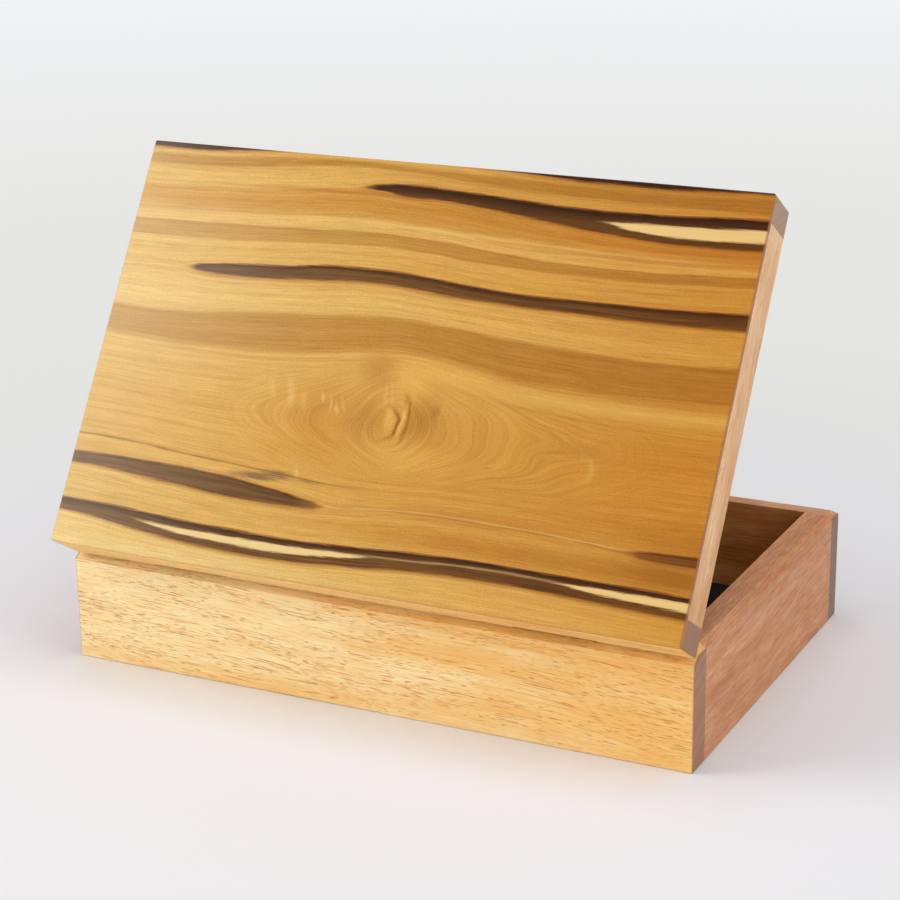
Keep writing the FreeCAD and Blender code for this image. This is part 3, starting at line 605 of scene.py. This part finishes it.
def timber_material(name, wood, lid, run, light, deep, shade, seed, slope, pore_share, figure, deepen):
    """Mahogany: a straight-grained hardwood with open pores, planed, sanded and oiled. The eye sees
    short reddish pore dashes on the long grain, slow bands of tone, and duller, darker end grain.

    run is the axis that the board lies along, slope the tilt of its grain in degrees and seed its
    place in the log. deepen is how much deeper it gets along its length."""
    material, add = new_material(name)

    # Board space in millimetres, x along the grain. The lid's boards are first turned level.
    place = lid_space(add, PIN) if lid else in_mm(add)
    spin = 0.0 if run == "X" else math.radians(-90.0)
    board = add("Mapping", {"Vector": place, "Rotation": (0.0, 0.0, spin)})
    cut_from = add("Mapping", {
        "Vector": board, "Location": (seed * 371.0, seed * 53.0, seed * 91.0),
        "Rotation": (0.0, math.radians(slope), 0.0)})
    bend = stretched(add, cut_from, (0.008, 0.02, 0.02), 1.0, "Color")
    bend = add("VectorMath MULTIPLY", (bend, (0.0, 9.0, 9.0)))
    grain = add("VectorMath ADD", (cut_from, bend))

    # Slow bands of tone, 8 to 20 mm deep and some 100 mm long.
    bands = stretched(add, grain, (0.009, 0.07, 0.085), 4.0)
    band_share = add("MapRange", (bands, 0.36, 0.66))
    along = add("SeparateXYZ", (board,))
    from_middle = add("Math ABSOLUTE", (along,))
    deep_share = add("Math MULTIPLY_ADD", (along, deepen / HALF_LENGTH, band_share), use_clamp=True)
    colour = lay(add, light, deep, deep_share)

    # Painted shade: the faces round the hollow are darkened, standing in for the shade inside the box.
    if not lid:
        from_hollow = add("VectorMath SUBTRACT", (place, HOLLOW_MIDDLE))
        from_hollow = add("VectorMath DIVIDE", (from_hollow, HOLLOW_HALF))
        from_hollow = add("VectorMath ABSOLUTE", (from_hollow,))
        sides = add("SeparateXYZ", (from_hollow,)).node.outputs
        inside = add("Math MAXIMUM", (sides["X"], sides["Y"]))
        inside = add("Math MAXIMUM", (sides["Z"], inside))
        inside = add("Math LESS_THAN", (inside, 1.0))
        colour = add("Mix", {0: inside, 6: colour, 7: wood.inner_stain}, 2, **STAIN)

    # Short cross figure, where the interlocked grain turns over.
    curl = stretched(add, grain, (0.06, 0.12, 0.12), 3.0)
    curl_share = add("MapRange", (curl, 0.35, 0.65, 0.0, figure))
    colour = add("Mix", {0: curl_share, 6: colour, 7: shade}, 2, **STAIN)

    # Fibres, about 0.5 mm apart.
    fibres = stretched(add, grain, (0.07, 1.5, 1.8), 4.0)
    fibre_share = add("MapRange", (fibres, 0.35, 0.65, 0.0, 0.9))
    colour = add("Mix", {0: fibre_share, 6: colour, 7: shade}, 2, **STAIN)

    # Pores on the long grain, and darker ends where the board's ends show.
    if run == "X":
        end_share = add("MapRange", (from_middle, HALF_LENGTH - 0.75, HALF_LENGTH - 0.15))
    else:
        end_share = 0.0
    long_share = add("Math SUBTRACT", (1.0, end_share))
    pore_mask = pore_dashes(add, wood, grain, pore_share, long_share)
    colour = lay(add, colour, wood.pore, pore_mask, 0.85)
    end_colour = end_grain(add, wood, board, grain, seed)
    colour = lay(add, colour, end_colour, end_share)

    relief = add("Math MULTIPLY", (fibres, 0.3))
    relief = add("Math MULTIPLY_ADD", (pore_mask, -0.9, relief))
    roughness = add("MapRange", (fibres, 0.3, 0.7, wood.roughness - 0.04, wood.roughness + 0.06))
    finish_surface(add, colour, roughness, relief, RELIEF, Specular_IOR_Level=0.35)
    return material


def felt_material(finish):
    """Pressed wool felt, dyed black. Matted fibres drink the light and leave a faint grey bloom."""
    material, add = new_material("pressed_wool_felt_black")
    place = in_mm(add)
    warp = add("TexNoise", {"Vector": place, "Scale": 0.6, "Detail": 2.0}, "Color")
    warp = add("VectorMath SCALE", {0: warp, "Scale": 3.0})
    tangled = add("VectorMath ADD", (place, warp))
    # Fibre ends about 0.4 mm apart, and thin places some 6 mm across.
    fuzz = add("TexNoise", {"Vector": tangled, "Scale": 2.4, "Detail": 4.0, "Roughness": 0.7})
    mats = add("TexNoise", {"Vector": place, "Scale": 0.16, "Detail": 2.0})
    share = add("Math MULTIPLY", (fuzz, mats))
    share = add("MapRange", (share, 0.12, 0.42))
    colour = lay(add, finish.felt, finish.felt_bloom, share)
    finish_surface(add, colour, 0.95, fuzz, 0.35, Sheen_Weight=0.04, Sheen_Roughness=0.6,
                   Specular_IOR_Level=0.05)
    return material


def brass_material(name, colour_value, finish, brush):
    """Drawn and rolled brass, tumbled to a dull shine: warm yellow, with fine drawing lines and a
    little brown tarnish."""
    material, add = new_material(name)
    place = in_mm(add)
    # Drawing lines some 0.2 mm apart, along the hinge; brush is how many there are to 1 mm.
    lines = stretched(add, place, (0.12, brush, brush), 3.0)
    tarnish = add("TexNoise", {"Vector": place, "Scale": 0.25, "Detail": 4.0})
    tarnish_share = add("MapRange", (tarnish, 0.45, 0.75, 0.0, 0.55))
    colour = lay(add, colour_value, finish.tarnish, tarnish_share)
    roughness = add("MapRange", (tarnish, 0.35, 0.7, finish.roughness, finish.roughness + 0.2))
    finish_surface(add, colour, roughness, lines, 0.01, Metallic=1.0)
    return material


# ---------------- settings

def tint(name, code, description):
    """A colour, given as an sRGB hex code."""
    return FloatVectorProperty(name=name, description=description, subtype="COLOR", size=3,
                               min=0.0, max=1.0, default=linear(code))


def setting(name, default, description, **more):
    """A number, with its unit and limits."""
    return FloatProperty(name=name, default=default, description=description, **more)


SHARE = {"min": 0.0, "max": 1.0, "subtype": "FACTOR"}
LENGTH = {"unit": "LENGTH"}
TURN = {"unit": "ROTATION"}
POWER = {"unit": "POWER"}


class PanelFinish(PropertyGroup):
    """Colours of the streaked lid panel."""
    pale_gold: tint("Pale gold", "DDBB6E", "Palest broad grain")
    gold: tint("Gold", "D4AC5C", "Usual broad grain")
    honey: tint("Honey", "D1A552", "Grain round the knot")
    amber: tint("Amber", "C6903E", "Deepest plain grain")
    brown: tint("Dull brown", "B48438", "Bands of dull heartwood")
    red_brown: tint("Red brown", "9C681E", "Veins in the dull bands")
    heart: tint("Heart", "9A5A1C", "Heart of the knot and rims of the streaks")
    bright: tint("Bright", "E1B862", "Rings that catch the light")
    ripple: tint("Ripple", "E8C67C", "Curls that catch the light")
    cream: tint("Cream", "E6CC92", "Pale wood inside the streaks")
    core_right: tint("Core, right", "DEB674", "The same wood towards the right-hand end")
    smoke: tint("Smoke", "7A5A38", "Grey-brown patches beside the streaks")
    streak: tint("Streak", "5E3E18", "Mineral streaks")
    streak_light: tint("Streak, lighter", "7C5A30", "Lighter lines inside the streaks")
    streak_edge: tint("Streak edge", "381C05", "Darkest edge of the streaks")
    deep_stain: tint("Deep stain", "E8D4BC", "Dark growth lines of the plain grain")
    # Painted sheen: the paler tone laid over the left-hand end in place of the lacquer's soft reflection.
    left_haze: tint("Left-hand haze", "E8D0B8", "Paler wood towards the left-hand end")
    right_tone: tint("Right-hand tone", "E4C28A", "Warmth towards the right-hand end")
    knot_along: setting("Knot along", 0.004, "Knot from the middle of the length", **LENGTH)
    knot_up: setting("Knot up", 0.073, "Knot from the hinge edge", **LENGTH)
    ring_share: setting("Rings", 0.5, "Strength of the knot's rings", **SHARE)
    roughness: setting("Roughness", 0.2, "Satin lacquer", **SHARE)


class WallFinish(PropertyGroup):
    """Colours and pores of the base walls and the bottom."""
    hinge_wall: tint("Hinge wall", "FBE9B4", "Its light grain")
    hinge_wall_deep: tint("Hinge wall, deep", "F3CA7C", "Its deep grain")
    front_wall: tint("Front wall", "DAB28C", "Its light grain")
    front_wall_deep: tint("Front wall, deep", "BE8E62", "Its deep grain")
    end_wall: tint("End walls", "E1AE84", "Its light grain")
    end_wall_deep: tint("End walls, deep", "CC956A", "Its deep grain")
    bottom: tint("Bottom", "D8B183", "Its light grain")
    bottom_deep: tint("Bottom, deep", "BD8E5E", "Its deep grain")
    stain: tint("Stain", "FBE6CE", "Darker fibres and figure of the hinge wall")
    end_stain: tint("Stain, ends", "E2C4AC", "The same of the other boards")
    # Painted shade inside the box, laid on the faces round the hollow.
    inner_stain: tint("Inner stain", "E6CFA0", "Deeper tone of the faces round the hollow")
    pore: tint("Pores", "CC7620", "Open pores")
    end_grain: tint("End grain", "A07256", "Ends of the hinge wall")
    front_end_grain: tint("End grain, front", "856959", "Ends of the front wall")
    pore_length: setting("Pore length", 0.0045, "Pore spacing along the grain", min=0.001, **LENGTH)
    pore_width: setting("Pore width", 0.0003, "Pore spacing across the grain", min=0.0001, **LENGTH)
    roughness: setting("Roughness", 0.5, "Oiled, hand rubbed", **SHARE)


class RailFinish(PropertyGroup):
    """Colours and pores of the lid rails."""
    # The hinge rail's colours and stain are its wood's colour made paler as painted light, standing in for
    # the floor's light on its shaded underside and bevel.
    rail: tint("Hinge rail", "FFDA90", "Its light grain")
    rail_deep: tint("Hinge rail, deep", "F6C078", "Its deep grain")
    end: tint("Other rails", "F8DAB0", "Light grain of the front rail and the ends")
    end_deep: tint("Other rails, deep", "E0B07C", "Its deep grain")
    stain: tint("Stain", "F8ECDA", "Darker fibres and figure of the hinge rail")
    end_stain: tint("Stain, ends", "E8D0B6", "The same of the other rails")
    pore: tint("Pores", "B0764A", "Open pores")
    end_grain: tint("End grain", "986D4C", "Ends of the hinge rail")
    front_end_grain: tint("End grain, front", "A4866E", "Ends of the front rail")
    pore_length: setting("Pore length", 0.003, "Pore spacing along the grain", min=0.001, **LENGTH)
    pore_width: setting("Pore width", 0.0005, "Pore spacing across the grain", min=0.0001, **LENGTH)
    roughness: setting("Roughness", 0.48, "Oiled, hand rubbed", **SHARE)


class HingeFinish(PropertyGroup):
    """Colours of the hinges and screws."""
    leaf: tint("Leaves", "D9B56B", "Rolled brass leaves")
    pin: tint("Pins", "CDA85E", "Drawn brass pins")
    screw: tint("Screws", "D2AC5E", "Turned brass screws")
    tarnish: tint("Tarnish", "96713A", "Brown film on the brass")
    roughness: setting("Roughness", 0.26, "Tumbled brass", **SHARE)


class LiningFinish(PropertyGroup):
    """Colours and shape of the felt pad."""
    felt: tint("Felt", "090808", "Dyed wool")
    felt_bloom: tint("Bloom", "121111", "Fibre ends that catch the light")
    edge: setting("Edge", 0.0009, "Rounding of the cut edge", **LENGTH)
    waves: setting("Waves", 0.00035, "How far the pad is from flat", **LENGTH)


class StageSettings(PropertyGroup):
    """Camera, floor and lights."""
    camera_place: FloatVectorProperty(
        name="Camera", description="Where the camera stands", default=(0.45876, -0.94116, 0.43597),
        unit="LENGTH")
    camera_yaw: setting("Yaw", math.radians(26.2936), "Camera turned left", **TURN)
    camera_pitch: setting("Pitch", math.radians(18.2382), "Camera tipped down", **TURN)
    camera_roll: setting("Roll", math.radians(-0.7381), "Camera rolled", **TURN)
    lens: setting("Lens", 96.354, "Focal length in millimetres")
    floor: tint("Floor", "E5E4E6", "Pale matt sweep")
    ground_near: tint("Ground, near", "E5E5E1", "How the floor is seen behind the box")
    ground_far: tint("Ground, far", "F1F2F5", "How the floor is seen far off")
    sweep_start: setting("Sweep start", 0.23, "Where the floor begins to even out", **LENGTH)
    sweep_end: setting("Sweep end", 0.56, "Where the floor is even", **LENGTH)
    key_power: setting("Key light", 11.6, "Soft light from the left front", **POWER)
    front_power: setting("Front light", 11.4, "Soft light from the front", **POWER)
    side_power: setting("Side light", 11.2, "Soft light from the right", **POWER)
    top_power: setting("Top light", 10.2, "Soft light from above", **POWER)
    fill: setting("Fill", 0.4, "Even light from all round")
    floor_size: setting("Floor size", 24.0, "Side of the floor", **LENGTH)


# ---------------- pieces

def give(name, material):
    """Puts one material on a carried-over node."""
    mesh = frame["nodes"][name].data
    mesh.materials.clear()
    mesh.materials.append(material)


def finish_mesh(bm, name):
    """Turns a finished bmesh into a mesh."""
    mesh = bpy.data.meshes.new(name)
    bm.to_mesh(mesh)
    bm.free()
    return mesh


def add_object(scene, name, data):
    """Puts a mesh, lamp or camera in the scene."""
    thing = bpy.data.objects.new(name, data)
    scene.collection.objects.link(thing)
    return thing


class BOX_OT_lid_panel(Operator):
    """Streaked, lacquered lid panel"""
    bl_idname = "box.lid_panel"
    bl_label = "Lid panel"

    def execute(self, context):
        give("lid_top_panel", panel_material(context.scene.box_panel))
        return {"FINISHED"}


class BOX_OT_lid_rails(Operator):
    """Four rails of the lid frame"""
    bl_idname = "box.lid_rails"
    bl_label = "Lid rails"

    def execute(self, context):
        f = context.scene.box_rails
        other = (f.end, f.end_deep, f.end_stain)
        for name, *board in (
                ("lid_hinge_rail", "X", f.rail, f.rail_deep, f.stain, 3, 1.0, 0.3, 0.4, 0.0),
                ("lid_front_rail", "X", *other, 4, -1.5, 0.3, 0.5, 0.0),
                ("lid_right_end", "Y", *other, 5, 1.5, 0.0, 0.5, -1.2),
                ("lid_left_end", "Y", *other, 6, -2.0, 0.0, 0.5, -1.2)):
            give(name, timber_material("mahogany_oiled_" + name, f, True, *board))
        return {"FINISHED"}


class BOX_OT_walls(Operator):
    """Four walls and the bottom of the base"""
    bl_idname = "box.walls"
    bl_label = "Base walls and bottom"

    def execute(self, context):
        f = context.scene.box_walls
        hinge = (f.hinge_wall, f.hinge_wall_deep, f.stain)
        front = (f.front_wall, f.front_wall_deep, f.end_stain)
        end = (f.end_wall, f.end_wall_deep, f.end_stain)
        bottom = (f.bottom, f.bottom_deep, f.end_stain)
        for name, *board in (
                ("hinge_side_board", "X", *hinge, 1, -2.5, 0.75, 0.35, 0.75),
                ("front_board", "X", *front, 2, 2.0, 0.6, 0.5, 0.0),
                ("left_end_board", "Y", *end, 7, 2.0, 0.9, 0.45, 0.0),
                ("right_end_board", "Y", *end, 8, 2.0, 0.9, 0.45, 0.0),
                ("bottom_panel", "X", *bottom, 9, 1.0, 0.4, 0.6, 0.0)):
            timber = "mahogany_ply_oiled" if name == "bottom_panel" else "mahogany_oiled_" + name
            give(name, timber_material(timber, f, False, *board))
        return {"FINISHED"}


class BOX_OT_lining(Operator):
    """Felt pad laid on the bottom panel"""
    bl_idname = "box.lining"
    bl_label = "Felt lining"

    def execute(self, context):
        f = context.scene.box_lining
        low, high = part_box("floor_lining")
        size = high - low
        bm = bmesh.new()
        bmesh.ops.create_cube(bm, size=1.0)
        bmesh.ops.scale(bm, vec=size, verts=bm.verts)
        bmesh.ops.translate(bm, vec=(low + high) / 2, verts=bm.verts)
        long_edges = [e for e in bm.edges if abs(e.verts[0].co.x - e.verts[1].co.x) > size.x / 2]
        cross_edges = [e for e in bm.edges if abs(e.verts[0].co.y - e.verts[1].co.y) > size.y / 2]
        for edges, cuts in zip((long_edges, cross_edges), PAD_CUTS):
            bmesh.ops.subdivide_edges(bm, edges=[e for e in bm.edges if e in set(edges)], cuts=cuts,
                                      use_grid_fill=True)
            bm.edges.ensure_lookup_table()
        corner = [e for e in bm.edges if len(e.link_faces) == 2
                  and e.link_faces[0].normal.dot(e.link_faces[1].normal) < 0.5]
        bmesh.ops.bevel(bm, geom=corner, offset=f.edge, segments=3, profile=0.5, affect="EDGES",
                        material=-1)
        for vert in bm.verts:
            share = (vert.co.z - low.z) / size.z
            swell = 0.5 + 0.5 * noise.noise(Vector((vert.co.x, vert.co.y, 0.0)) / PAD_WAVE)
            vert.co.z -= f.waves * swell * share
        bmesh.ops.recalc_face_normals(bm, faces=bm.faces)
        mesh = finish_mesh(bm, "felt_pad")
        mesh.shade_smooth()
        mesh.materials.append(felt_material(f))
        pad = add_object(context.scene, "felt_pad", mesh)
        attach(pad, "base")
        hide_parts("floor_lining")
        return {"FINISHED"}


class BOX_OT_hinges(Operator):
    """Hinge leaves, pins and screws"""
    bl_idname = "box.hinges"
    bl_label = "Hinges"

    def execute(self, context):
        f = context.scene.box_hinges
        leaf = brass_material("rolled_brass_leaf", f.leaf, f, 6.0)
        pin = brass_material("drawn_brass_pin", f.pin, f, 7.0)
        screw = brass_material("turned_brass_screw", f.screw, f, 4.0)
        for side in ("left", "right"):
            give(side + "_hinge_base_leaf", leaf)
            give(side + "_hinge_lid_leaf", leaf)
            give(side + "_hinge_pin", pin)
        give("base_hinge_screws", screw)
        give("lid_hinge_screws", screw)
        return {"FINISHED"}


def floor_material(s):
    """Paper sweep, painted pale and matt. The eye sees soft shade near the box and an even pale
    ground further off."""
    material, add = new_material("matt_painted_sweep")
    place = add("TexCoord", output="Object")
    tone = add("TexNoise", {"Vector": place, "Scale": 1.5, "Detail": 1.0})
    share = add("MapRange", (tone, 0.0, 1.0, 0.0, 0.04))
    colour = lay(add, s.floor, (0.5, 0.5, 0.5), share)
    relief = add("Bump", {"Height": tone, "Distance": 0.01 * MM})
    paint = add("BsdfDiffuse", {"Color": colour, "Normal": relief})
    # Far from the object the sweep is seen as an even pale ground, and lights nothing.
    from_box = add("VectorMath LENGTH", (place,), "Value")
    far = add("MapRange", (from_box, s.sweep_start, s.sweep_end), **SMOOTH)
    seen = add("LightPath", output="Is Camera Ray")
    mirrored = seen.node.outputs["Is Glossy Ray"]
    seen = add("Math MAXIMUM", (seen, mirrored))
    far = add("Math MULTIPLY", (far, seen))
    distance = add("MapRange", (from_box, *GROUND_BLEND))
    ground = lay(add, s.ground_near, s.ground_far, distance)
    ground = add("Emission", {"Color": ground, "Strength": 1.0})
    surface = add("MixShader", (far, paint, ground))
    add("OutputMaterial", {"Surface": surface})
    return material


def studio_world(s):
    """Even light from all round."""
    world = bpy.data.worlds.new("studio")
    world.use_nodes = True
    world.node_tree.nodes.clear()
    add = partial(add_node, world.node_tree)
    # Past the floor's edge the camera sees the same pale ground, which lights nothing.
    glow = add("Background", {"Color": linear(FILL_COLOUR), "Strength": s.fill})
    backdrop = add("Background", {"Color": s.ground_far, "Strength": 1.0})
    seen = add("LightPath", output="Is Camera Ray")
    glow = add("MixShader", (seen, glow, backdrop))
    add("OutputWorld", {"Surface": glow})
    return world


class BOX_OT_stage(Operator):
    """Camera, floor and lights"""
    bl_idname = "box.stage"
    bl_label = "Stage"

    def execute(self, context):
        s = context.scene.box_stage
        scene = context.scene
        scene.view_settings.view_transform = "Standard"

        camera_data = bpy.data.cameras.new("camera")
        camera_data.lens = s.lens
        camera_data.sensor_width = 36.0
        camera_data.clip_start, camera_data.clip_end = 0.05, 60.0
        camera = add_object(scene, "camera", camera_data)
        camera.matrix_world = (
            Matrix.Translation(s.camera_place)
            @ Matrix.Rotation(s.camera_yaw, 4, "Z")
            @ Matrix.Rotation(math.radians(90.0) - s.camera_pitch, 4, "X")
            @ Matrix.Rotation(s.camera_roll, 4, "Z")
        )
        scene.camera = camera

        bm = bmesh.new()
        bmesh.ops.create_grid(bm, x_segments=2, y_segments=2, size=s.floor_size / 2)
        mesh = finish_mesh(bm, "floor")
        floor = add_object(scene, "floor", mesh)
        mesh.materials.append(floor_material(s))

        for name, power, size, away in (
                ("key", s.key_power, 0.8, (-0.755, -0.455, 0.475)),
                ("front", s.front_power, 1.6, (0.25, -0.96, 0.08)),
                ("side", s.side_power, 1.6, (0.9, -0.1, 0.55)),
                ("top", s.top_power, 1.4, (0.0, -0.02, 0.95))):
            light = bpy.data.lights.new(name, "AREA")
            light.shape = "SQUARE"
            light.size = size
            light.energy = power
            lamp = add_object(scene, name, light)
            away = Vector(away).normalized()
            lamp.location = Vector(LAMP_TARGET) + away * LAMP_DISTANCE
            lamp.rotation_mode = "QUATERNION"
            lamp.rotation_quaternion = away.to_track_quat("Z", "Y")

        scene.world = studio_world(s)
        return {"FINISHED"}


PIECES = (BOX_OT_stage, BOX_OT_walls, BOX_OT_lining, BOX_OT_lid_rails, BOX_OT_lid_panel, BOX_OT_hinges)


class BOX_PT_build(Panel):
    """Lists the pieces of the box"""
    bl_label = "Timber Box"
    bl_idname = "BOX_PT_build"
    bl_space_type = "VIEW_3D"
    bl_region_type = "UI"
    bl_category = "Timber Box"

    def draw(self, context):
        for piece in PIECES:
            self.layout.operator(piece.bl_idname)


SETTINGS = {"box_panel": PanelFinish, "box_walls": WallFinish, "box_rails": RailFinish,
            "box_hinges": HingeFinish, "box_lining": LiningFinish, "box_stage": StageSettings}


def register():
    for name, group in SETTINGS.items():
        bpy.utils.register_class(group)
        setattr(bpy.types.Scene, name, PointerProperty(type=group))
    for piece in PIECES:
        bpy.utils.register_class(piece)
    bpy.utils.register_class(BOX_PT_build)


def unregister():
    bpy.utils.unregister_class(BOX_PT_build)
    for piece in reversed(PIECES):
        bpy.utils.unregister_class(piece)
    for name, group in SETTINGS.items():
        delattr(bpy.types.Scene, name)
        bpy.utils.unregister_class(group)


def main():
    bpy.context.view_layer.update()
    register()
    bpy.ops.box.stage()
    bpy.ops.box.walls()
    bpy.ops.box.lining()
    bpy.ops.box.lid_rails()
    bpy.ops.box.lid_panel()
    bpy.ops.box.hinges()


if __name__ == "__main__":
    main()
